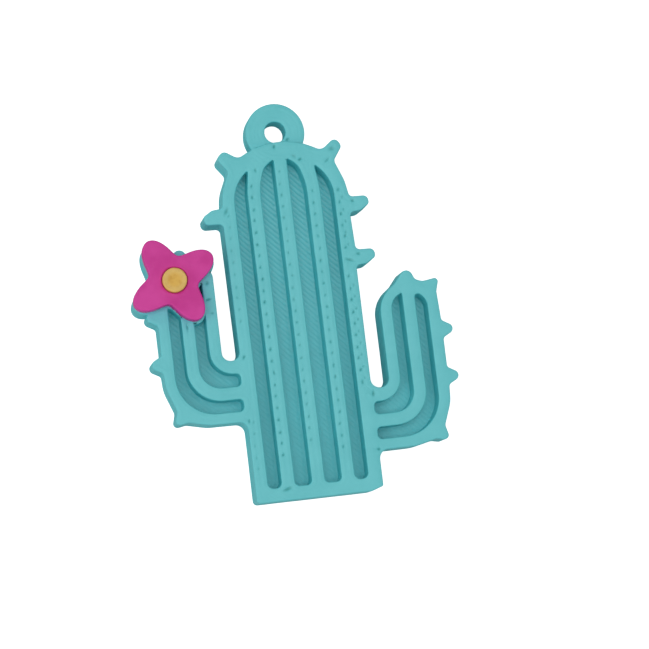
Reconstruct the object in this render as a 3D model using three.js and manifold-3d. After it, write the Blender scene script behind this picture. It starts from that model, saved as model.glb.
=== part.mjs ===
// A flat cactus charm, printed in plastic: a ribbed trunk with two upturned arms, blunt thorns round
// its edge, an eyelet on top and a four-petalled flower on the left arm.
// Millimetres. While it is built, X = 0 is the trunk's centre line, Y = 0 its foot, and Z = 0 its back.
import * as THREE from "three";
import { mergeVertices } from "three/addons/utils/BufferGeometryUtils.js";
import Module from "manifold-3d";

// Plate: rims and ribs stand at full thickness over sunken channels.
const THICKNESS = 4.0;
const CHANNEL_FLOOR = 1.4;
const CUT_CLEAR = 1.0; // how far a cutting solid runs past the face it opens

// Trunk.
const TRUNK_HALF = 7.22;
const SHOULDER_Y = 35.4; // where the straight sides lean in towards the dome
const SHOULDER_HALF = 7.05;
const NECK_HALF = 6.1; // half width under the two corner thorns
const NECK_Y = 37.8;
const VALLEY_HALF = 4.8; // half width of the dome between the corner thorns
const VALLEY_Y = 39.13;
const DOME_CORNER_Y = 41.7; // where the dome's two slopes would meet
const DOME_RADIUS = 8.5;

// Ribs and channels of the trunk, counted out from the middle rib's own centre line.
const MIDDLE_RIB_HALF = 0.75;
const INNER_CHANNEL = 1.9;
const SIDE_RIB = 1.52;
const OUTER_CHANNEL = 1.53;
const CHANNEL_FOOT_Y = 1.54;
const CHANNEL_SHIFT = -0.05; // all channels sit this far off the trunk's centre line

// Arms: two mirrored copies of one shape, the right one first. Reach is from the trunk's centre line to
// the arm's, gapSide and tip from there in to the gap and out to the top thorn. The base is a height over
// the trunk's foot; gapBottom and the side thorns are heights over the base.
const RIGHT_ARM = { side: 1, reach: 12.77, base: 4.46, gapSide: 3.46, gapBottom: 7.06, tip: 0.17 };
const LEFT_ARM = { side: -1, reach: 12.56, base: 9.26, gapSide: 3.36, gapBottom: 7.0, tip: 0.34 };
const RIGHT_THORNS = [7.53, 12.9];
const LEFT_THORNS = [7.34, 12.68];
const RIGHT_SHOULDER = 3.5; // rounding of the arm's top on the gap's side
const LEFT_SHOULDER = 1.2;
const GAP_ROUND = 0.49; // radius of the gap's bottom corners, as a share of its width
const ARM_CHANNEL_END = 7.36; // the arm's channels stop this far from the trunk's centre line

// Eyelet.
const EYELET_X = -0.08;
const EYELET_Y = 41.78;
const EYELET_RADIUS = 3.4;
const EYELET_HOLE_Y = 41.86;
const EYELET_HOLE_RADIUS = 1.2;
const EYELET_THICKNESS = 2.8;

// Flower: its outline swings between petal tips and notches as a cosine of four times the angle, and
// a smaller cosine of eight times the angle narrows the petals.
const FLOWER_X = -13.71;
const FLOWER_Y = 25.72;
const PETAL_SHIFT = [-0.08, 0.03]; // the petals' outline sits a little off the seat of their centre
const PETAL_MEAN = 3.97;
const PETAL_SWING = 1.215;
const PETAL_PINCH = 0.05;
const PETAL_COUNT = 4;
const PETAL_ANGLE = THREE.MathUtils.degToRad(28.8);
const PETAL_THICKNESS = 1.6;
const PETAL_ROUND = 0.15; // rounding of the petals' edges
const GROUND_MEAN = 4.04; // the raised ground under the flower is a little wider, and lower down
const GROUND_X = -13.69;
const GROUND_Y = 25.54;
const SEAT_DEPTH = 0.4; // sunken seat of the flower's centre
const SEAT_GAP = 0.1;
const CENTRE_RADIUS = 1.38;
const CENTRE_RISE = 0.4; // how far the centre stands above the petals
const CENTRE_ROUND = 0.18;

const wasm = await Module();
wasm.setup();

// A closed geometry as a solid that can be joined and cut.
function solidOf(geometry) {
  geometry.deleteAttribute("normal");
  geometry.deleteAttribute("uv");
  const merged = mergeVertices(geometry);
  return new wasm.Manifold(
    new wasm.Mesh({
      numProp: 3,
      vertProperties: merged.attributes.position.array,
      triVerts: new Uint32Array(merged.index.array),
    }),
  );
}

// A joined or cut solid back as a geometry.
function geometryOf(solid) {
  const { vertProperties, triVerts } = solid.getMesh();
  const geometry = new THREE.BufferGeometry();
  geometry.setAttribute("position", new THREE.BufferAttribute(vertProperties, 3));
  geometry.setIndex(new THREE.BufferAttribute(triVerts, 1));
  geometry.computeVertexNormals();
  return geometry;
}

// A closed outline from its corners, counter-clockwise, each [x, y, radius]: straight edges joined by
// an arc of that radius that touches the two edges meeting at the corner.
function roundedOutline(corners) {
  const outline = new THREE.Shape();
  corners.forEach(([x, y, radius], i) => {
    const corner = new THREE.Vector2(x, y);
    const back = new THREE.Vector2(...corners.at(i - 1)).sub(corner).normalize();
    const ahead = new THREE.Vector2(...corners[(i + 1) % corners.length]).sub(corner).normalize();
    const halfAngle = Math.acos(back.dot(ahead)) / 2;
    const middle = back.clone().add(ahead).normalize();
    const centre = middle.multiplyScalar(radius / Math.sin(halfAngle)).add(corner);
    const start = back.clone().multiplyScalar(radius / Math.tan(halfAngle)).add(corner);
    const end = ahead.clone().multiplyScalar(radius / Math.tan(halfAngle)).add(corner);
    const turnsRight = ahead.cross(back) < 0;
    const fromAngle = start.sub(centre).angle();
    const toAngle = end.sub(centre).angle();
    outline.absarc(centre.x, centre.y, radius, fromAngle, toAngle, turnsRight);
  });
  return outline;
}

// An outline raised from one height to another.
function raised(outline, bottom, top) {
  const options = { depth: top - bottom, bevelEnabled: false, curveSegments: 4 };
  return solidOf(new THREE.ExtrudeGeometry(outline, options).translate(0, 0, bottom));
}

function disc(radius, x, y, bottom, top, sides) {
  const geometry = new THREE.CylinderGeometry(radius, radius, top - bottom, sides);
  return solidOf(geometry.rotateX(Math.PI / 2).translate(x, y, (bottom + top) / 2));
}

// A thorn on the trunk's straight side, seen from its root at height y. Its long edge is square to the
// side and the other slopes; flip = -1 puts the slope on top.
function sideThorn(y, flip) {
  const corners = [
    [TRUNK_HALF, y - 1.25 * flip, 0.5],
    [TRUNK_HALF + 1.25, y - 1.13 * flip, 1.0],
    [TRUNK_HALF + 2.34, y - 0.44 * flip, 0.5],
    [TRUNK_HALF + 2.2, y + 0.54 * flip, 0.6],
    [TRUNK_HALF + 0.15, y + 0.57 * flip, 0.5],
  ];
  return flip > 0 ? corners : corners.reverse();
}

// The arm from the trunk's lower side round to the gap above it, as corners [a, b, radius]: a is
// measured out from the arm's centre line, b up from its base.
function armCorners({ reach, gapSide, gapBottom, tip }, thorns, shoulder) {
  const trunkSide = TRUNK_HALF - reach;
  const gapRadius = (reach - gapSide - TRUNK_HALF) * GAP_ROUND;
  const sideThorns = thorns.flatMap((height) => [
    [3.4, height - 1.0, 0.45],
    [5.22, height, 0.6],
    [3.4, height + 1.03, 0.45],
  ]);
  return [
    [trunkSide, 0, 1.0],
    [-1.2, 0.03, 4.0],
    [1.2, 0.58, 0.8],
    [2.8, 0.26, 0.5], // thorn on the elbow
    [2.34, 2.0, 0.7],
    [3.3, 4.6, 4.0],
    ...sideThorns,
    [3.25, 17.25, 0.5],
    [3.72, 18.9, 0.4], // corner thorn
    [1.75, 18.58, 1.0],
    [tip + 0.78, 18.9, 0.5],
    [tip, 20.67, 0.75], // top thorn
    [tip - 1.67, 18.62, 0.5],
    [-gapSide, 17.15, shoulder],
    [-gapSide, gapBottom, gapRadius],
    [trunkSide, gapBottom, gapRadius],
  ];
}

// The arm's channels: both run up the arm, bend round the elbow and stop at the trunk.
function armChannels({ reach }) {
  const end = ARM_CHANNEL_END - reach;
  const inner = [
    [end, 4.08, 0.5],
    [-0.72, 4.08, 2.4],
    [-0.72, 17.46, 0.12],
    [-2.05, 16.94, 1.8],
    [-2.05, 5.49, 2.6],
    [end, 5.49, 0.5],
  ];
  const outer = [
    [end, 1.27, 0.5],
    [2.06, 1.27, 4.4],
    [2.06, 16.65, 1.6],
    [0.73, 17.46, 0.35],
    [0.73, 2.6, 3.8],
    [end, 2.6, 0.45],
  ];
  return [inner, outer];
}

// Corners of an arm carried to their place on the trunk; a mirrored arm runs the other way round.
function placed(corners, { side, reach, base }) {
  const moved = corners.map(([a, b, radius]) => [side * (reach + a), base + b, radius]);
  return side > 0 ? moved : moved.reverse();
}

function mirrored(corners) {
  return corners.map(([x, y, radius]) => [-x, y, radius]).reverse();
}

// The whole plate's edge, from the foot up the right side, over the dome and down the left side.
function bodyCorners() {
  const leanRight = [[SHOULDER_HALF, SHOULDER_Y, 5.0]];
  const cornerThornRight = [
    [NECK_HALF, NECK_Y, 0.6],
    [NECK_HALF + 1.1, NECK_Y + 1.6, 0.6],
    [NECK_HALF + 0.42, NECK_Y + 2.72, 0.6],
    [VALLEY_HALF, VALLEY_Y, 0.9],
  ];
  const cornerThornLeft = [
    [-VALLEY_HALF, VALLEY_Y - 0.1, 0.9],
    [-NECK_HALF - 0.3, NECK_Y + 2.27, 0.65],
    [-NECK_HALF - 1.22, NECK_Y + 1.4, 0.6],
    [-NECK_HALF, NECK_Y - 0.2, 0.6],
  ];
  return [
    [-TRUNK_HALF, 0, 0.5],
    [5.9, 0, 1.0],
    [TRUNK_HALF, 0.45, 0.3],
    ...placed(armCorners(RIGHT_ARM, RIGHT_THORNS, RIGHT_SHOULDER), RIGHT_ARM),
    ...sideThorn(26.83, 1),
    ...sideThorn(32.95, 1),
    ...leanRight,
    ...cornerThornRight,
    [0, DOME_CORNER_Y, DOME_RADIUS],
    ...cornerThornLeft,
    ...mirrored(leanRight),
    ...mirrored(sideThorn(32.27, -1)),
    ...placed(armCorners(LEFT_ARM, LEFT_THORNS, LEFT_SHOULDER), LEFT_ARM),
  ];
}

// The right-hand half of the trunk's channels: square at the foot, with the outer side arched over
// to meet the inner side in a point under the dome.
function trunkChannels() {
  const innerStart = MIDDLE_RIB_HALF;
  const innerEnd = innerStart + INNER_CHANNEL;
  const outerStart = innerEnd + SIDE_RIB;
  const outerEnd = outerStart + OUTER_CHANNEL;
  const inner = [
    [innerStart, CHANNEL_FOOT_Y, 0.55],
    [innerEnd, CHANNEL_FOOT_Y, 0.55],
    [innerEnd, 35.6, 7.8],
    [innerEnd - 0.7, 37.74, 1.8],
    [innerStart, 38.58, 0.12],
  ];
  const outer = [
    [outerStart, CHANNEL_FOOT_Y, 0.65],
    [outerEnd, CHANNEL_FOOT_Y, 0.65],
    [outerEnd, 35.98, 4.6],
    [outerStart - 0.35, 37.56, 0.1], // the tip leans in towards the middle
    [outerStart, 35.0, 8.0],
  ];
  return [inner, outer];
}

// The outline of the flower, or of the ground under it, round its own centre.
function petalOutline(mean) {
  const steps = 120;
  const points = [];
  for (let i = 0; i < steps; i++) {
    const angle = (i / steps) * 2 * Math.PI;
    const turn = PETAL_COUNT * (angle - PETAL_ANGLE);
    const radius = mean + PETAL_SWING * Math.cos(turn) + PETAL_PINCH * Math.cos(2 * turn);
    points.push(new THREE.Vector2(Math.cos(angle), Math.sin(angle)).multiplyScalar(radius));
  }
  return new THREE.Shape(points);
}

// Cactus: one print. The ground under the flower is raised to the rims.
function cactusGeometry() {
  let body = raised(roundedOutline(bodyCorners()), 0, THICKNESS);
  const channels = [
    ...trunkChannels(),
    ...trunkChannels().map(mirrored),
    ...[RIGHT_ARM, LEFT_ARM].flatMap((arm) => armChannels(arm).map((c) => placed(c, arm))),
  ];
  for (const channel of channels) {
    const cut = raised(roundedOutline(channel), CHANNEL_FLOOR, THICKNESS + CUT_CLEAR);
    body = body.subtract(cut.translate([CHANNEL_SHIFT, 0, 0]));
  }
  const ground = raised(petalOutline(GROUND_MEAN), 0, THICKNESS).translate([GROUND_X, GROUND_Y, 0]);
  const eyelet = disc(EYELET_RADIUS, EYELET_X, EYELET_Y, 0, EYELET_THICKNESS, 64);
  const holeTop = THICKNESS + CUT_CLEAR;
  const hole = disc(EYELET_HOLE_RADIUS, EYELET_X, EYELET_HOLE_Y, -CUT_CLEAR, holeTop, 40);
  return geometryOf(body.add(ground).add(eyelet).subtract(hole));
}

// Flower: a flat four-petalled plate with rounded edges and a seat for its centre.
function flowerGeometry() {
  const petals = new THREE.ExtrudeGeometry(petalOutline(PETAL_MEAN), {
    depth: PETAL_THICKNESS - 2 * PETAL_ROUND,
    bevelThickness: PETAL_ROUND,
    bevelSize: PETAL_ROUND,
    bevelOffset: -PETAL_ROUND,
    bevelSegments: 3,
  });
  petals.translate(...PETAL_SHIFT, PETAL_ROUND);
  const seatFloor = PETAL_THICKNESS - SEAT_DEPTH;
  const seat = disc(CENTRE_RADIUS + SEAT_GAP, 0, 0, seatFloor, PETAL_THICKNESS + CUT_CLEAR, 48);
  return geometryOf(solidOf(petals).subtract(seat));
}

// Flower centre: a turned button with a rounded upper edge.
function centreGeometry() {
  const height = SEAT_DEPTH + CENTRE_RISE;
  const edge = new THREE.Path();
  edge.moveTo(0, 0);
  edge.lineTo(CENTRE_RADIUS, 0);
  edge.lineTo(CENTRE_RADIUS, height - CENTRE_ROUND);
  edge.absarc(CENTRE_RADIUS - CENTRE_ROUND, height - CENTRE_ROUND, CENTRE_ROUND, 0, Math.PI / 2);
  edge.lineTo(0, height);
  const turned = new THREE.LatheGeometry(edge.getPoints(3), 48).rotateX(Math.PI / 2);
  return geometryOf(solidOf(turned));
}

const teal = new THREE.MeshStandardMaterial({ color: 0x6bb8c0, roughness: 0.6, metalness: 0 });
const magenta = new THREE.MeshStandardMaterial({ color: 0xc1428d, roughness: 0.55, metalness: 0 });
const yellow = new THREE.MeshStandardMaterial({ color: 0xd3a857, roughness: 0.55, metalness: 0 });

const cactus = new THREE.Mesh(cactusGeometry(), teal);
cactus.name = "cactus";

const flower = new THREE.Mesh(flowerGeometry(), magenta);
flower.name = "flower";
flower.position.set(FLOWER_X, FLOWER_Y, THICKNESS);

const flowerCentre = new THREE.Mesh(centreGeometry(), yellow);
flowerCentre.name = "flower_centre";
flowerCentre.position.set(FLOWER_X, FLOWER_Y, THICKNESS + PETAL_THICKNESS - SEAT_DEPTH);

// The charm's own origin is the middle of its box, on the surface it lies on.
const pieces = new THREE.Group();
pieces.add(cactus, flower, flowerCentre);
const middle = new THREE.Box3().setFromObject(pieces).getCenter(new THREE.Vector3());
pieces.position.set(-middle.x, -middle.y, 0);

const charm = new THREE.Group();
charm.add(pieces);
export default charm;
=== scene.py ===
# A flat cactus charm of printed plastic, lying on its back on a white table: a ribbed teal cactus with
# a magenta flower and the flower's yellow centre. Plans are in millimetres, with X = 0 on the trunk's
# centre line, Y = 0 at its foot and Z = 0 at its back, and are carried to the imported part's frame.
import math
import bpy
import numpy as np
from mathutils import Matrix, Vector
from mathutils.geometry import delaunay_2d_cdt


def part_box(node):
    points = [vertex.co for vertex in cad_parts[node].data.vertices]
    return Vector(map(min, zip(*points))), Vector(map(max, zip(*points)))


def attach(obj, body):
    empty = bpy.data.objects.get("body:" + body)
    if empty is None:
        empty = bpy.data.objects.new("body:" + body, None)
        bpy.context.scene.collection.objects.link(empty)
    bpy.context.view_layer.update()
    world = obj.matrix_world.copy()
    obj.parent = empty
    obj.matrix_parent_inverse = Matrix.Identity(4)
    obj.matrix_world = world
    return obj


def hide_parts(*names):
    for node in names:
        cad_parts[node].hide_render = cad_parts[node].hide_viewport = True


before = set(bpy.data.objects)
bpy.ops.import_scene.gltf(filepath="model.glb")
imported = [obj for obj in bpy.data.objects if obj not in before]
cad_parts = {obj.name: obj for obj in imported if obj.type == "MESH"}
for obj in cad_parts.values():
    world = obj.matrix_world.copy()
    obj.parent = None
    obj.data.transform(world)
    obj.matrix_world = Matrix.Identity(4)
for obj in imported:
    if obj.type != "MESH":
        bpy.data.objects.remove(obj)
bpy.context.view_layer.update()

# ------------------------------------------------------------------------------------------------
# Cactus. One print in teal plastic, laid down in thin layers from its flat back up: a plate whose rim
# and ribs stand over sunken channels, with blunt thorns all round and a thinner eyelet on top. Slanted
# lines of the fill show on the channel floors, and rows of pinholes run down the ribs.

trunk_half = 7.22
right_arm = {"side": 1, "reach": 12.77, "base": 4.46, "gap_side": 3.46, "gap": 7.06,
             "thorns": [7.53, 12.9], "tip": 0.17, "shoulder": 3.5}
left_arm = {"side": -1, "reach": 12.56, "base": 9.26, "gap_side": 3.36, "gap": 7.0,
            "thorns": [7.34, 12.68], "tip": 0.34, "shoulder": 1.2}
rim_top, eyelet_top, channel_floor = 4.0, 2.8, 1.4
eyelet_x, eyelet_y, eyelet_radius = -0.08, 41.78, 3.4
hole_y, hole_radius = 41.86, 1.2
flower_at, ground_at = np.array([-13.71, 25.72]), np.array([-13.69, 25.54])


def turned_over(corners):
    """The same corners on the trunk's other side, in reverse so that the inside stays on their left."""
    return (np.asarray(corners, float) * (-1, 1, 1))[::-1]


def side_thorn(y, flip):
    """A thorn on the trunk's side as corners [x, y, radius]: one long square edge and one slope."""
    steps = np.array([[0, -1.25, 0.5], [1.25, -1.13, 1.0], [2.34, -0.44, 0.5], [2.2, 0.54, 0.6],
                      [0.15, 0.57, 0.5]])
    corners = steps * (1, flip, 1) + (trunk_half, y, 0)
    return corners if flip > 0 else corners[::-1]


def on_arm(corners, arm):
    """Corners given out from the arm's centre line and up from its base, carried to their place."""
    placed = np.asarray(corners, float) + (arm["reach"], arm["base"], 0)
    return placed if arm["side"] > 0 else turned_over(placed)


def arm_edge(arm):
    """The arm's edge as corners [x, y, radius], from the trunk out round the elbow, up past the thorns
    and over the tip, and back down to the gap beside the trunk."""
    root, gap_side, gap, tip = trunk_half - arm["reach"], -arm["gap_side"], arm["gap"], arm["tip"]
    gap_round = (gap_side - root) * 0.49
    elbow = [[root, 0, 1.0], [-1.2, 0.03, 4], [1.2, 0.58, 0.8], [2.8, 0.26, 0.5], [2.34, 2, 0.7],
             [3.3, 4.6, 4]]
    side_thorns = []
    for height in arm["thorns"]:
        side_thorns += [[3.4, height - 1.0, 0.45], [5.22, height, 0.6], [3.4, height + 1.03, 0.45]]
    corner_thorn = [[3.25, 17.25, 0.5], [3.72, 18.9, 0.4], [1.75, 18.58, 1.0]]
    top_thorn = [[tip + 0.78, 18.9, 0.5], [tip, 20.67, 0.75], [tip - 1.67, 18.62, 0.5]]
    inner_side = [[gap_side, 17.15, arm["shoulder"]], [gap_side, gap, gap_round], [root, gap, gap_round]]
    return on_arm(elbow + side_thorns + corner_thorn + top_thorn + inner_side, arm)


def arm_channels(arm):
    """The arm's two channels, which bend round its elbow and stop short of the trunk."""
    end = 7.36 - arm["reach"]
    inner = [[end, 4.08, 0.5], [-0.72, 4.08, 2.4], [-0.72, 17.46, 0.12], [-2.05, 16.94, 1.8],
             [-2.05, 5.49, 2.6], [end, 5.49, 0.5]]
    outer = [[end, 1.27, 0.5], [2.06, 1.27, 4.4], [2.06, 16.65, 1.6], [0.73, 17.46, 0.35],
             [0.73, 2.6, 3.8], [end, 2.6, 0.45]]
    return [on_arm(inner, arm), on_arm(outer, arm)]


lean = np.array([[7.05, 35.4, 5.0]])
corner_thorn_right = [[6.1, 37.8, 0.6], [7.2, 39.4, 0.6], [6.52, 40.52, 0.6], [4.8, 39.13, 0.9]]
corner_thorn_left = [[-4.8, 39.03, 0.9], [-6.4, 40.07, 0.65], [-7.32, 39.2, 0.6], [-6.1, 37.6, 0.6]]
body_corners = np.vstack([
    [[-trunk_half, 0, 0.5], [5.9, 0, 1.0], [trunk_half, 0.45, 0.3]],
    arm_edge(right_arm), side_thorn(26.83, 1), side_thorn(32.95, 1), lean, corner_thorn_right,
    [[0, 41.7, 8.5]],
    corner_thorn_left, turned_over(lean), turned_over(side_thorn(32.27, -1)), arm_edge(left_arm),
])
inner_channel = np.array([[0.75, 1.54, 0.55], [2.65, 1.54, 0.55], [2.65, 35.6, 7.8], [1.95, 37.74, 1.8],
                          [0.75, 38.58, 0.12]])
outer_channel = np.array([[4.17, 1.54, 0.65], [5.7, 1.54, 0.65], [5.7, 35.98, 4.6], [3.82, 37.56, 0.1],
                          [4.17, 35, 8]])
channel_corners = [inner_channel, outer_channel, turned_over(inner_channel), turned_over(outer_channel)]
channel_corners += arm_channels(right_arm) + arm_channels(left_arm)
channel_shift = (-0.05, 0, 0)  # all channels sit this far off the trunk's centre line


def rounded(corners):
    """Closed outline through corners [x, y, radius]. The straight edges stop radius / tan(half the
    corner's angle) short of each corner, and an arc round a point on its bisector joins them."""
    point, radius = corners[:, :2], corners[:, 2:]
    back, ahead = np.roll(point, 1, 0) - point, np.roll(point, -1, 0) - point
    back /= np.linalg.norm(back, axis=1, keepdims=True)
    ahead /= np.linalg.norm(ahead, axis=1, keepdims=True)
    half = np.arccos(np.clip((back * ahead).sum(1, keepdims=True), -1, 1)) / 2
    middle = (back + ahead) / np.linalg.norm(back + ahead, axis=1, keepdims=True)
    centre = point + middle * radius / np.sin(half)
    start, end = point + back * radius / np.tan(half), point + ahead * radius / np.tan(half)
    first = np.arctan2(*(start - centre).T[::-1])
    sweep = (np.arctan2(*(end - centre).T[::-1]) - first + np.pi) % (2 * np.pi) - np.pi
    steps = np.maximum(2, np.ceil(np.abs(sweep) * np.maximum(4.5, 2.5 * radius[:, 0]))).astype(int)
    pieces = []
    for i, following in enumerate(np.roll(start, -1, 0)):
        turn = first[i] + sweep[i] * np.linspace(0, 1, steps[i] + 1)
        pieces.append(centre[i] + radius[i] * np.column_stack([np.cos(turn), np.sin(turn)]))
        run = max(1, round(np.linalg.norm(following - end[i]) / 0.9))
        pieces.append(end[i] + (following - end[i]) * (np.arange(1, run) / run)[:, None])
    return np.vstack(pieces)


def circle(x, y, radius, steps):
    """A circle's points at equal turns."""
    turn = np.linspace(0, 2 * np.pi, steps, endpoint=False)
    return np.column_stack([x + radius * np.cos(turn), y + radius * np.sin(turn)])


petal_mean, ground_mean, petal_swing, petal_pinch = 3.97, 4.04, 1.215, 0.05
petal_turn = math.radians(28.8)


def petal_reach(turn, mean):
    """The flower's radius in each direction: a mean, plus a swing that goes as the cosine of four turns,
    plus a pinch that goes as the cosine of eight and narrows the petals."""
    from_petal = turn - petal_turn
    return mean + petal_swing * np.cos(4 * from_petal) + petal_pinch * np.cos(8 * from_petal)


def inside(points, outline):
    """Which points an outline holds: a line to the right of each crosses it an odd number of times."""
    x, y = points[:, :1], points[:, 1:]
    (ax, ay), (bx, by) = outline.T, np.roll(outline, -1, 0).T
    with np.errstate(divide="ignore", invalid="ignore"):
        crossing = ax + (y - ay) * (bx - ax) / (by - ay)
    return (((ay > y) != (by > y)) & (crossing > x)).sum(1) % 2 == 1


def clearance(points, outlines):
    """Each point's distance from the nearest edge: to the foot of its perpendicular, kept on the edge."""
    start = np.vstack(outlines)
    run = np.vstack([np.roll(o, -1, 0) - o for o in outlines])
    nearest = []
    for some in np.array_split(points, len(points) // 1500 + 1):
        gap = some[:, None] - start
        share = np.clip((gap * run).sum(2) / (run * run).sum(1), 0, 1)
        nearest.append(np.sqrt(((gap - share[..., None] * run) ** 2).sum(2)).min(1))
    return np.concatenate(nearest)


turns = np.linspace(0, 2 * np.pi, 180, endpoint=False)
ray = np.column_stack([np.cos(turns), np.sin(turns)])
body = rounded(body_corners)
channels = [rounded(c + channel_shift) for c in channel_corners]
ground = ground_at + petal_reach(turns, ground_mean)[:, None] * ray
ring = circle(eyelet_x, eyelet_y, eyelet_radius, 110)
hole = circle(eyelet_x, hole_y, hole_radius, 56)
outlines = [body, *channels, ground, ring, hole]


def in_solid(spots):
    """Which points lie on plastic: in the body, the flower's ground or the eyelet, but not its hole."""
    return np.any([inside(spots, o) for o in (body, ground, ring)], 0) & ~inside(spots, hole)


# Pinholes down the ribs, where the two lines of plastic that make a rib don't quite close: rows of
# [x, lowest y, highest y, depth], then single flaws of [x, y, length, width, turn in degrees, depth].
pinhole_pitch = 1.33
pinhole_rows = [
    [-3.65, 5.14, 36.0, 1.0], [-0.3, 6.5, 37.3, 0.7], [3.25, 5.3, 34.6, 0.8], [6.25, 12.4, 24.5, 1.0],
    [6.25, 27.7, 35.0, 1.0], [6.64, 12.8, 24.5, 0.55], [6.6, 28.1, 34.5, 0.5], [-6.65, 20.6, 33.0, 0.5],
    [-6.65, 3.8, 10.0, 0.4]]
flaws = [
    [-3.6, 1.3, 0.42, 0.13, 20, 1.2], [7.2, 4.6, 0.16, 0.12, 0, 1.3], [7.35, 10.9, 0.28, 0.13, 80, 1.2],
    [-6.75, 16.5, 0.22, 0.1, 60, 1.1], [-6.85, 33.1, 0.36, 0.14, 60, 1.0], [-0.55, 40.0, 0.2, 0.12, 75, 1.3],
    [1.25, 40.9, 0.2, 0.11, 40, 1.2], [7.65, 33.0, 0.18, 0.12, 0, 1.0], [2.25, 38.3, 0.2, 0.11, 30, 1.2],
    [-3.0, 37.5, 0.18, 0.12, 90, 0.9], [6.5, 26.3, 0.45, 0.14, -20, 0.9], [7.6, 26.9, 0.18, 0.13, 0, 1.1],
    [-7.0, 9.3, 0.2, 0.1, 80, 0.9], [5.3, 37.9, 0.3, 0.1, 40, 0.8], [6.0, 39.2, 0.3, 0.2, 10, 0.8],
    [-12.7, 20.6, 0.4, 0.1, 88, 1.2], [1.5, 38.8, 0.22, 0.1, 0, 0.7], [-2.17, 4.6, 0.13, 0.1, 90, 2.2],
    [-9.95, 25.22, 0.2, 0.13, 60, 1.1], [-10.05, 23.38, 0.28, 0.11, 10, 1.3],
    [-9.73, 21.82, 0.16, 0.12, 0, 0.7], [-5.64, 31.96, 0.18, 0.12, 60, 0.8]]
rng = np.random.default_rng(7)
holes = []
for x, lowest, highest, depth in pinhole_rows:
    y = np.arange(lowest, highest, pinhole_pitch)
    n = len(y)
    holes.append(np.column_stack([
        x + rng.normal(0, 0.05, n), y + rng.normal(0, 0.05, n), rng.uniform(0.14, 0.20, n),
        rng.uniform(0.09, 0.12, n), rng.normal(62, 14, n), depth * rng.uniform(0.75, 1.15, n)]))
holes = np.vstack(holes + [flaws])


def sunk(points):
    """How deep the pinholes go at each point, 1 for a full one: for each hole a bell, which falls off with
    the squares of the distances along and across it, each over the hole's own length or width."""
    turn = np.radians(holes[:, 4])
    gap = points[:, None] - holes[:, :2]
    along = gap[..., 0] * np.cos(turn) + gap[..., 1] * np.sin(turn)
    across = gap[..., 1] * np.cos(turn) - gap[..., 0] * np.sin(turn)
    return (holes[:, 5] * np.exp(-((along / holes[:, 2]) ** 2 + (across / holes[:, 3]) ** 2))).sum(1)


line_pitch, line_depth, pinhole_depth = 0.46, 0.075, 0.13
across_lines, along_lines = np.array([1, 1]) / math.sqrt(2), np.array([1, -1]) / math.sqrt(2)


def fill_lines(points):
    """Height of the fill's slanted lines: round-backed beads with a narrow valley between two of them,
    as the cube of a sine's size. They are crisp under the dome and flatten out towards the foot."""
    phase = points @ across_lines / line_pitch
    strength = 0.32 + 0.63 / (1 + np.exp((22 - points[:, 1]) / 3))
    return -line_depth * strength * np.abs(np.sin(np.pi * phase)) ** 3


def lattice(first, second):
    """Every pair of two rows of numbers, as points."""
    return np.stack(np.meshgrid(first, second), 2).reshape(-1, 2)


steps = lattice(np.arange(-30, 45, line_pitch / 6), np.arange(-50, 30, 0.5))
slanted_net = steps[:, :1] * across_lines + steps[:, 1:] * along_lines


def floor_points(channel):
    """Points on a channel's floor: a net that runs with the slanted lines, six points to a line, and a
    close row of points 0.06 mm in from the channel's edge."""
    net = slanted_net[((slanted_net > channel.min(0)) & (slanted_net < channel.max(0))).all(1)]
    net = net[inside(net, channel)]
    net = net[clearance(net, [channel]) > 0.11]
    run = np.roll(channel, -1, 0) - channel
    length = np.linalg.norm(run, axis=1)
    walk = np.arange(0, length.sum(), 0.11)
    at = np.clip(np.searchsorted(np.cumsum(length), walk), 0, len(length) - 1)
    share = (walk - (np.cumsum(length) - length)[at]) / length[at]
    left = np.column_stack([-run[:, 1], run[:, 0]]) / length[:, None]
    beside = channel[at] + share[:, None] * run[at] + 0.06 * left[at]
    return np.vstack([net, beside[inside(beside, channel)]])


low, high = body.min(0) - 1, ring.max(0) + 1


def top_points():
    """Points on the tops and the eyelet: a loose net of triangles, and over each pinhole a tight patch
    that is stretched and turned as the hole is. They keep off the channels and 0.27 mm from edges."""
    net = np.stack(np.meshgrid(np.arange(low[0], high[0], 0.38), np.arange(low[1], high[1], 0.33)), 2)
    net[1::2, :, 0] += 0.19
    net = net.reshape(-1, 2)
    steps = lattice(np.linspace(-1.8, 1.8, 7), np.linspace(-1.8, 1.8, 6))
    turn = np.radians(holes[:, 4:5])
    along, across = steps[:, 0] * holes[:, 2:3], steps[:, 1] * holes[:, 3:4]
    x, y = along * np.cos(turn) - across * np.sin(turn), along * np.sin(turn) + across * np.cos(turn)
    patch = (np.stack([x, y], 2) + holes[:, None, :2]).reshape(-1, 2)
    spots = np.vstack([net[sunk(net) < 0.04], patch])
    spots = spots[in_solid(spots)]
    over_channel = np.any([inside(spots, c) for c in channels], 0) & ~inside(spots, ground)
    spots = spots[~over_channel]
    return spots[clearance(spots, outlines) > 0.27]


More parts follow.
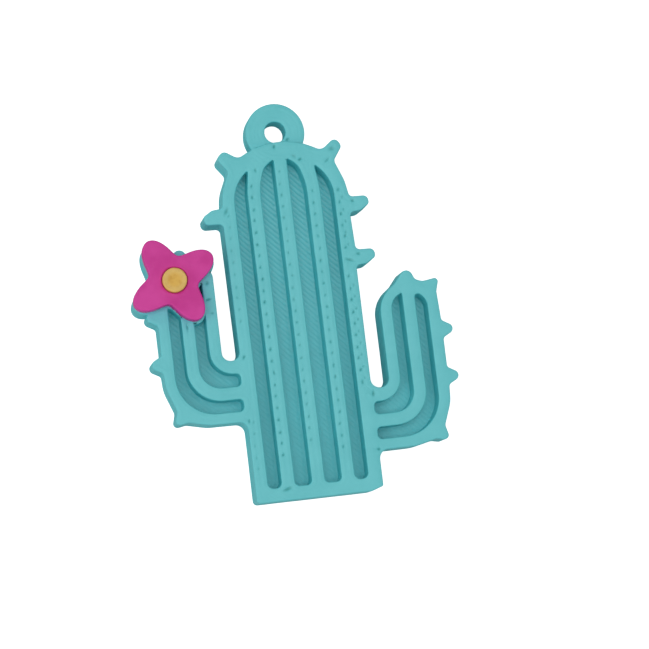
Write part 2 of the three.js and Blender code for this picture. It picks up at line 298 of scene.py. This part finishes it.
# The plan is cut into triangles along every outline at once, and each triangle takes its height
# from the outlines that hold it: rim, eyelet or channel floor, and none outside.
points = np.vstack([*outlines, *[floor_points(c) for c in channels], top_points()])
ends = np.cumsum([len(o) for o in outlines])
loops = [list(range(end - len(o), end)) for end, o in zip(ends, outlines)]
cut = delaunay_2d_cdt([Vector(p) for p in points], [], loops, 0, 1e-5, True)
plan, triangles = np.array([tuple(v) for v in cut[0]]), np.array(cut[2])
held = np.array([[number in ids for number in range(len(outlines))] for ids in cut[5]])
in_body, in_channel = held[:, 0], held[:, 1:-3].any(1)
in_ground, in_ring, in_hole = held[:, -3:].T
height = np.select([in_hole, in_ground | in_body & ~in_channel, in_body, in_ring],
                   [0, rim_top, channel_floor, eyelet_top], 0)
triangles, height = triangles[height > 0], height[height > 0]

# Walls stand on each edge between two heights. Their rows follow the print's layers, two to a layer,
# and at the back and under both tops they follow the rounded edge instead.
layer, edge_round, back_round = 0.2, 0.16, 0.06
under = edge_round * (1 - np.sin(np.radians([90, 66, 42, 18])))
rows = np.arange(0, rim_top, layer / 2)
for face in (eyelet_top, rim_top):
    rows = rows[(rows < face - edge_round) | (rows > face - 0.01)]
rows = rows[rows > edge_round]
levels = np.unique(np.concatenate([rows, under, eyelet_top - under, rim_top - under]).round(3))
count = len(levels)
edges = np.concatenate([triangles[:, [0, 1]], triangles[:, [1, 2]], triangles[:, [2, 0]]])
edge_high = np.tile(height, 3)
key, twin = edges[:, 0] * len(plan) + edges[:, 1], edges[:, 1] * len(plan) + edges[:, 0]
order = np.argsort(key)
found = np.clip(np.searchsorted(key[order], twin), 0, len(key) - 1)
edge_low = np.where(key[order][found] == twin, edge_high[order][found], 0)
step = edge_high > edge_low
edges, edge_high, edge_low = edges[step], edge_high[step], edge_low[step]

# At each point of an edge: which way is out, and the heights that meet there. Where more than two
# edges meet, nothing is drawn in, so that the walls stay joined.
run = plan[edges[:, 1]] - plan[edges[:, 0]]
out = np.column_stack([run[:, 1], -run[:, 0]]) / np.linalg.norm(run, axis=1, keepdims=True)
outward, meets = np.zeros_like(plan), np.zeros(len(plan), int)
high_at, low_at = np.zeros(len(plan)), np.full(len(plan), np.inf)
for side in (0, 1):
    np.add.at(outward, edges[:, side], out)
    np.add.at(meets, edges[:, side], 1)
    np.maximum.at(high_at, edges[:, side], edge_high)
    np.minimum.at(low_at, edges[:, side], edge_low)
outward /= np.maximum(np.linalg.norm(outward, axis=1, keepdims=True), 1e-9)
on_edge = np.flatnonzero(meets)
gap = np.linalg.norm(plan[on_edge, None] - plan[meets > 2], axis=2).min(1)
share = np.clip(gap / 0.5, 0, 1)
fade = np.zeros(len(plan))
fade[on_edge] = share ** 2 * (3 - 2 * share)

# Every vertex has a key, its point's number and its level's, so that tops and walls share vertices.
cap_keys = triangles * count + np.searchsorted(levels, height.round(3) - 0.005)[:, None]
wall_keys = []
for low_level, high_level in {tuple(pair) for pair in np.column_stack([edge_low, edge_high]).round(3)}:
    chosen = edges[(edge_low.round(3) == low_level) & (edge_high.round(3) == high_level)] * count
    rows = np.arange(*np.searchsorted(levels, [low_level - 0.005, high_level - 0.005]))
    start, end = chosen[:, :1] + rows, chosen[:, 1:] + rows
    wall_keys.append(np.stack([start, end, end + 1, start + 1], 2).reshape(-1, 4))
walls = np.vstack(wall_keys)
keys, numbered = np.unique(np.concatenate([cap_keys.ravel(), walls.ravel()]), return_inverse=True)
caps, walls = numbered[:cap_keys.size].reshape(-1, 3), numbered[cap_keys.size:].reshape(-1, 4)
at, z = keys // count, levels[keys % count]


def lip(distance, radius):
    """How far a rounded edge draws in at a distance from its face: a quarter circle."""
    share = np.clip(1 - distance / radius, 0, 1)
    return radius * (1 - np.sqrt(1 - share * share))


# Walls: each layer is a bead that wanders by a hair. Tops: gentle waves and the pinholes. Floors: the
# fill's lines, with a painted highlight on their crests under the dome, where they catch the light.
bead = 0.03 * (1 - np.abs(np.sin(np.pi * z / layer)))
wander = 0.005 * (1 + np.sin(plan[at] @ [1.3, 0.9] + 2.4 * np.floor(z / layer)))
inset = np.maximum(bead + wander, lip(high_at[at] - z, edge_round))
inset = np.maximum(inset, np.where(low_at[at] == 0, lip(z, back_round), 0))
xy = plan[at] - outward[at] * (inset * fade[at])[:, None]
flat = ~np.isin(at, on_edge)
on_floor = flat & (np.abs(z - channel_floor) < 0.01)
pitted = np.where(flat, np.clip(sunk(xy), 0, 2.2), 0)
waves = 0.006 * np.sin(xy @ [2.1, 1.1]) * np.sin(xy @ [-0.7, 1.9])
z = z + np.where(flat, waves - pinhole_depth * pitted, 0)
z = z + np.where(on_floor, fill_lines(xy), 0)
# Painted highlight: the crests of the fill's lines under the dome get a paler colour.
lit_crest = np.clip(1 + 0.7 * fill_lines(xy) / 0.06, 0, 1) / (1 + np.exp((20 - xy[:, 1]) / 4))
crest_highlight = np.where(on_floor, 0.95 * lit_crest, 0)

# The flat back closes the print. Its edge is the walls' lowest row.
rim, rim_ends = np.unique(edges[edge_low == 0], return_inverse=True)
net = lattice(np.arange(low[0], high[0], 1.1), np.arange(low[1], high[1], 1.1))
net = net[in_solid(net)]
net = net[clearance(net, [body, ground, ring, hole]) > 0.3]
back_points = np.vstack([plan[rim], net])
rim_pairs = rim_ends.reshape(-1, 2).tolist()
back_cut = delaunay_2d_cdt([Vector(p) for p in back_points], rim_pairs, [], 0, 1e-5, True)
back = np.array([ids[0] for ids in back_cut[3]])[np.array(back_cut[2])]
back = back[in_solid(back_points[back].mean(1))][:, ::-1]
back_vertex = np.concatenate([np.searchsorted(keys, rim * count), len(keys) + np.arange(len(net))])
xyz = np.vstack([np.column_stack([xy, z]), np.column_stack([net, np.zeros(len(net))])])
pitted, crest_highlight = (np.concatenate([values, np.zeros(len(net))]) for values in (pitted, crest_highlight))

# From the plan to the part's own frame: the middle of the cactus's box, in metres.
box = np.array([tuple(corner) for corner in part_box("cactus")]) * 1000
plan_to_part = np.append((box[0] + box[1])[:2] / 2 - (xyz.min(0) + xyz.max(0))[:2] / 2, 0)


def made(name, points, faces, limit):
    """A mesh object from points in millimetres and arrays of three- and four-cornered faces, kept in its
    node's box, with soft shading that breaks where two faces meet at more than 50 degrees."""
    mesh = bpy.data.meshes.new(name)
    corners = np.concatenate([f.ravel() for f in faces])
    sizes = np.concatenate([np.full(len(f), f.shape[1]) for f in faces])
    mesh.vertices.add(len(points))
    mesh.loops.add(len(corners))
    mesh.polygons.add(len(sizes))
    mesh.vertices.foreach_set("co", np.clip(points, *limit).astype(np.float32).ravel() / 1000)
    mesh.loops.foreach_set("vertex_index", corners.astype(np.int32))
    mesh.polygons.foreach_set("loop_start", (np.cumsum(sizes) - sizes).astype(np.int32))
    mesh.update(calc_edges=True)
    mesh.validate()
    mesh.shade_smooth()
    mesh.set_sharp_from_angle(angle=math.radians(50))
    piece = bpy.data.objects.new(name, mesh)
    bpy.context.scene.collection.objects.link(piece)
    return piece


# The back is shaded flat, so that it takes nothing from the rounded edge round it.
cactus = made("cactus_print", xyz + plan_to_part, [caps, walls, back_vertex[back]], box)
on_back = np.arange(len(cactus.data.polygons)) >= len(caps) + len(walls)
cactus.data.attributes.new("sharp_face", "BOOLEAN", "FACE").data.foreach_set("value", on_back)
from_edge = clearance(xyz[:, :2], outlines)
# The pinholes' depth also drives painted shade in the colour; the crest value is a painted highlight.
for name, values in {"pinhole_shade": np.clip(pitted, 0, 1), "from_edge": from_edge, "crest_highlight": crest_highlight}.items():
    cactus.data.attributes.new(name, "FLOAT", "POINT").data.foreach_set("value", values.astype(np.float32))


class Wire:
    """A value on its way through a material: a socket that adds Math nodes when it is reckoned with."""

    def __init__(self, tree, socket):
        self.tree, self.socket = tree, socket

    def node(self, kind, settings=None, **sockets):
        """A node of this type, its settings put first and then its sockets, by name or place (i0, i1)."""
        made_node = self.tree.nodes.new(kind)
        for name, value in (settings or {}).items():
            setattr(made_node, name, value)
        for name, value in sockets.items():
            place = int(name[1:]) if name[0] == "i" and name[1:].isdigit() else name.replace("_", " ")
            if isinstance(value, Wire):
                self.tree.links.new(value.socket, made_node.inputs[place])
            else:
                made_node.inputs[place].default_value = value
        return made_node

    def out(self, kind, output=0, settings=None, **sockets):
        """One output of such a node."""
        return Wire(self.tree, self.node(kind, settings, **sockets).outputs[output])

    def reckon(self, operation, *values):
        """A Math node on some values."""
        sockets = {f"i{place}": value for place, value in enumerate(values)}
        return self.out("ShaderNodeMath", 0, {"operation": operation}, **sockets)

    def __add__(self, other):
        return self.reckon("ADD", self, other)

    def __sub__(self, other):
        return self.reckon("SUBTRACT", self, other)

    def __rsub__(self, other):
        return self.reckon("SUBTRACT", other, self)

    def __mul__(self, other):
        return self.reckon("MULTIPLY", self, other)

    __radd__, __rmul__ = __add__, __mul__

    def between(self, low, high):
        """0 under low, 1 over high and a smooth rise in between."""
        return self.out("ShaderNodeMapRange", 0, {"interpolation_type": "SMOOTHSTEP"}, Value=self,
                        From_Min=low, From_Max=high)

    def noise(self, scale, detail, **more):
        """Soft noise on the piece's own coordinates, with features about 1 / scale metres across."""
        return self.out("ShaderNodeTexNoise", 0, None, Vector=self, Scale=scale, Detail=detail, **more)

    def tint(self, low, high):
        """A colour between two, by this value."""
        return self.out("ShaderNodeMix", 2, {"data_type": "RGBA"}, i0=self, i6=low, i7=high)

    def kept(self, name):
        """A value that the piece's mesh keeps at each point."""
        return self.out("ShaderNodeAttribute", "Fac", {"attribute_name": name})

    def relief(self, strength):
        """A normal for fine relief of up to 0.06 mm, from this height."""
        return self.out("ShaderNodeBump", 0, None, Strength=strength, Distance=0.00006, Height=self)


def plastic(name, piece, refraction=1.46):
    """A new plastic material on a piece: its shader, and the piece's coordinates as a Wire."""
    material = bpy.data.materials.new(name)
    material.use_nodes = True
    tree = material.node_tree
    shader = tree.nodes["Principled BSDF"]
    shader.inputs["IOR"].default_value = refraction
    piece.data.materials.clear()
    piece.data.materials.append(material)
    return shader, Wire(tree, tree.nodes.new("ShaderNodeTexCoord").outputs["Object"])


def feed(shader, **wires):
    """Links wires to a shader's sockets."""
    for name, wire in wires.items():
        wire.tree.links.new(wire.socket, shader.inputs[name.replace("_", " ")])


# Teal plastic: a little uneven in tone, with painted shade that darkens the pinholes and a painted
# highlight that makes the upper floors' beads paler, with the last passes of the nozzle as fine lines
# beside every edge of the tops.
teal_light, teal_deep = (0.142, 0.760, 0.812, 1), (0.090, 0.682, 0.734, 1)
# The pit colour is painted shade and the crest colour a painted highlight.
teal_crest_highlight, teal_pit_shade = (0.26, 0.86, 0.91, 1), (0.02, 0.42, 0.42, 1)
nozzle_pass = 0.45
shader, place = plastic("teal plastic", cactus, refraction=1.6)
shader.inputs["Specular IOR Level"].default_value = 1.0
normal = place.out("ShaderNodeNewGeometry", "Normal")
on_top = place.out("ShaderNodeSeparateXYZ", "Z", None, Vector=normal).between(0.9, 0.98)
edge = place.kept("from_edge")
cloud = place.noise(260, 3)
tone = cloud.between(0.3, 0.7) * 0.6 + place.noise(1500, 2) * 0.4
passes = (edge * (2 * math.pi / nozzle_pass)).reckon("COSINE", edge * (2 * math.pi / nozzle_pass))
# Painted highlight: paler colour on the floors' bead crests under the dome.
colour = place.kept("crest_highlight").tint(tone.tint(teal_deep, teal_light), teal_crest_highlight)
# Painted shade: the colour turns dark in the pinholes.
feed(shader, Base_Color=place.kept("pinhole_shade").tint(colour, teal_pit_shade))
rub = (1 - edge.between(1.2, 1.6)) * on_top
grain = place.noise(5200, 2) * 0.35 + passes * rub * 0.22 + place.noise(1100, 1) * 0.5
feed(shader, Normal=grain.relief(0.35), Roughness=0.5 + cloud * 0.14)
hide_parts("cactus")
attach(cactus, "root")

# ------------------------------------------------------------------------------------------------
# Flower. One flat magenta print with four petals and softly rounded edges, fixed on the raised
# ground at the left arm's end. Its middle is sunk to seat the centre.

petal_thick, petal_round, seat_radius, seat_depth = 1.6, 0.15, 1.48, 0.4
petal_shift = np.array([-0.08, 0.03])  # the petals' outline sits a little off the seat of their centre
turns = np.linspace(0, 2 * np.pi, 360, endpoint=False)
from_petal = turns - petal_turn
reach = petal_reach(turns, petal_mean)
slope = -4 * petal_swing * np.sin(4 * from_petal) - 8 * petal_pinch * np.sin(8 * from_petal)
ray = np.column_stack([np.cos(turns), np.sin(turns)])
tangent = slope[:, None] * ray + reach[:, None] * np.column_stack([-np.sin(turns), np.cos(turns)])
sideways = np.column_stack([tangent[:, 1], -tangent[:, 0]])
sideways /= np.linalg.norm(tangent, axis=1, keepdims=True)
outline = reach[:, None] * ray + petal_shift


def level_rows(flat_rows, heights):
    """Rows of plan points, each lifted to its own height."""
    return np.concatenate([flat_rows, np.broadcast_to(heights, flat_rows[..., :1].shape)], 2)


def petal_rows():
    """The flower's skin as rows of points round its middle. From the underside's edge the rows climb a
    quarter circle, the layered side and a second quarter circle, each a distance in from the outline.
    On top they close in evenly from the outline's shape to the seat's circle, then drop to its floor."""
    quarter = np.linspace(0, np.pi / 2, 6)
    side = np.arange(petal_round + 0.1, petal_thick - petal_round - 0.01, 0.1)
    side_sink = 0.02 * (np.arange(len(side)) % 2)
    tuck, rounding = petal_round * (1 - np.sin(quarter)), petal_round * (1 - np.cos(quarter))
    sink = np.concatenate([tuck, side_sink, rounding])
    rise = np.concatenate([rounding, side, petal_thick - tuck])
    edge_rows = outline - sink[:, None, None] * sideways
    share = np.linspace(0, 1, 14)[1:, None, None]
    top = (1 - share) * edge_rows[-1] + share * (seat_radius + 0.05) * ray
    dish = 0.04 * np.sin(np.pi * share) * (1 + 0.4 * np.cos(4 * from_petal))[:, None]
    seat = np.broadcast_to(seat_radius * ray, (2, *ray.shape))
    seat_rise = petal_thick - np.array([0.05, seat_depth])
    return np.concatenate([level_rows(edge_rows, rise[:, None, None]), level_rows(top, petal_thick - dish),
                           level_rows(seat, seat_rise[:, None, None])])


def closed_skin(rows, first_pole, last_pole):
    """Points and faces of a skin of rings: quads between neighbouring rings and a fan at each end."""
    ring_count, around = rows.shape[:2]
    number = np.arange(ring_count * around).reshape(ring_count, around)
    onward = np.roll(number, -1, 1)
    quads = np.stack([number[:-1], onward[:-1], onward[1:], number[1:]], 2).reshape(-1, 4)
    pole = ring_count * around
    fans = [np.column_stack([onward[0], number[0], np.full(around, pole)]),
            np.column_stack([number[-1], onward[-1], np.full(around, pole + 1)])]
    return np.vstack([rows.reshape(-1, 3), first_pole, last_pole]), [quads, *fans]


skin, faces = closed_skin(petal_rows(), [[0, 0, 0]], [[0, 0, petal_thick - seat_depth]])
flower_to_part = np.append(flower_at, rim_top) + plan_to_part
box = np.array([tuple(corner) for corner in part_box("flower")]) * 1000
flower = made("flower_petals", skin + flower_to_part, faces, box)

# Magenta plastic: smooth, with faint clouds and a few pale scuffs.
magenta_deep, magenta_light = (0.74, 0.026, 0.345, 1), (0.87, 0.062, 0.44, 1)
magenta_scuff = (0.86, 0.11, 0.50, 1)
shader, place = plastic("magenta plastic", flower)
cloud = place.noise(330, 3)
scuff = place.noise(900, 4, Distortion=1.5).between(0.62, 0.8)
pink = cloud.between(0.3, 0.7).tint(magenta_deep, magenta_light)
grain = place.noise(3000, 2) * 0.5 + place.noise(700, 2) * 0.8
feed(shader, Base_Color=(scuff * 0.25).tint(pink, magenta_scuff))
feed(shader, Normal=grain.relief(0.3), Roughness=0.44 + cloud * 0.14)
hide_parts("flower")
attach(flower, "root")

# ------------------------------------------------------------------------------------------------
# Flower centre. A small yellow button pressed into the flower's seat, with a rounded rim that
# stands a hair over its slightly dished face.

button_radius, button_height, button_round, button_dish = 1.38, 0.8, 0.18, 0.02
quarter = np.linspace(0, np.pi / 2, 6)
reach = np.concatenate([[button_radius * 0.5, button_radius, button_radius],
                        button_radius - button_round * (1 - np.cos(quarter)), [1.12, 1.04, 0.7, 0.35]])
rise = np.concatenate([[0, 0, 0.3], button_height - button_round * (1 - np.sin(quarter)),
                       button_height - button_dish * np.array([0.5, 1, 1, 1])])
round_rows = reach[:, None, None] * circle(0, 0, 1, 96)
skin, faces = closed_skin(level_rows(round_rows, rise[:, None, None]), [[0, 0, 0]],
                          [[0, 0, button_height - button_dish]])
centre_to_part = flower_to_part + (0, 0, petal_thick - seat_depth)
box = np.array([tuple(corner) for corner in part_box("flower_centre")]) * 1000
centre = made("flower_button", skin + centre_to_part, faces, box)

# Yellow plastic: mottled, and paler towards the rim as a painted highlight.
yellow_deep, yellow_light, yellow_rim_highlight = (0.80, 0.44, 0.055, 1), (0.95, 0.58, 0.110, 1), (1.0, 0.72, 0.26, 1)
shader, place = plastic("yellow plastic", centre)
middle = tuple(centre_to_part / 1000)
from_middle = place.out("ShaderNodeVectorMath", "Value", {"operation": "DISTANCE"}, i0=place, i1=middle)
mottle = place.noise(1400, 3).between(0.35, 0.65)
# Painted highlight: the colour pales in a ring towards the button's rim.
rim_highlight_share = from_middle.between(0.0009, 0.0013) * 0.5
feed(shader, Base_Color=rim_highlight_share.tint(mottle.tint(yellow_deep, yellow_light), yellow_rim_highlight))
feed(shader, Normal=place.noise(2200, 3).relief(0.4), Roughness=0.45 + mottle * 0.1)
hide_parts("flower_centre")
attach(centre, "root")

# ------------------------------------------------------------------------------------------------
# Table, light and camera. A plain white table under broad soft lights, in an even white room. The
# table glows to the camera alone, which keeps it white there without lighting the charm from below.

bpy.ops.mesh.primitive_plane_add(size=1.6, location=(0, 0, 0))
table = bpy.context.object
table.name = "table"
shader, place = plastic("white table", table)
shader.inputs["Roughness"].default_value = 0.9
shader.inputs["Specular IOR Level"].default_value = 0.0
shader.inputs["Emission Strength"].default_value = 0.9
feed(shader, Base_Color=place.noise(4, 1).tint((0.71, 0.71, 0.71, 1), (0.73, 0.73, 0.73, 1)))
seen = place.out("ShaderNodeLightPath", "Is Camera Ray")
feed(shader, Emission_Color=seen.tint((0, 0, 0, 1), (1, 1, 1, 1)))

world = bpy.data.worlds.new("white room")
world.use_nodes = True
world.node_tree.nodes["Background"].inputs["Color"].default_value = (1.0, 1.0, 1.0, 1)
world.node_tree.nodes["Background"].inputs["Strength"].default_value = 0.33
bpy.context.scene.world = world


def softbox(name, place, size, power):
    """A square soft light that faces the charm."""
    data = bpy.data.lights.new(name, "AREA")
    data.size, data.energy = size, power
    light = bpy.data.objects.new(name, data)
    light.location = place
    light.rotation_euler = (-Vector(place)).to_track_quat("-Z", "Y").to_euler()
    bpy.context.scene.collection.objects.link(light)


softbox("top softbox", (0.06, 0.02, 0.8), 0.45, 1.0)
softbox("left softbox", (-0.34, -0.02, 0.64), 0.4, 0.85)
softbox("low left softbox", (-0.6, -0.1, 0.22), 0.4, 0.45)
softbox("front softbox", (0.0, -0.6, 0.45), 0.45, 0.15)
bpy.context.scene.view_settings.view_transform = "Standard"

# The camera looks down on the charm, from a little to its left and towards its foot.
camera = bpy.data.objects.new("camera", bpy.data.cameras.new("camera"))
camera.location = (-0.041655, -0.032520, 0.277163)
camera.rotation_euler = [math.radians(turn) for turn in (7.0969, -8.5564, -6.9506)]
camera.data.sensor_width = 36
camera.data.lens = 137.01
camera.data.clip_start = 0.01
bpy.context.scene.collection.objects.link(camera)
bpy.context.scene.camera = camera

bpy.context.view_layer.update()
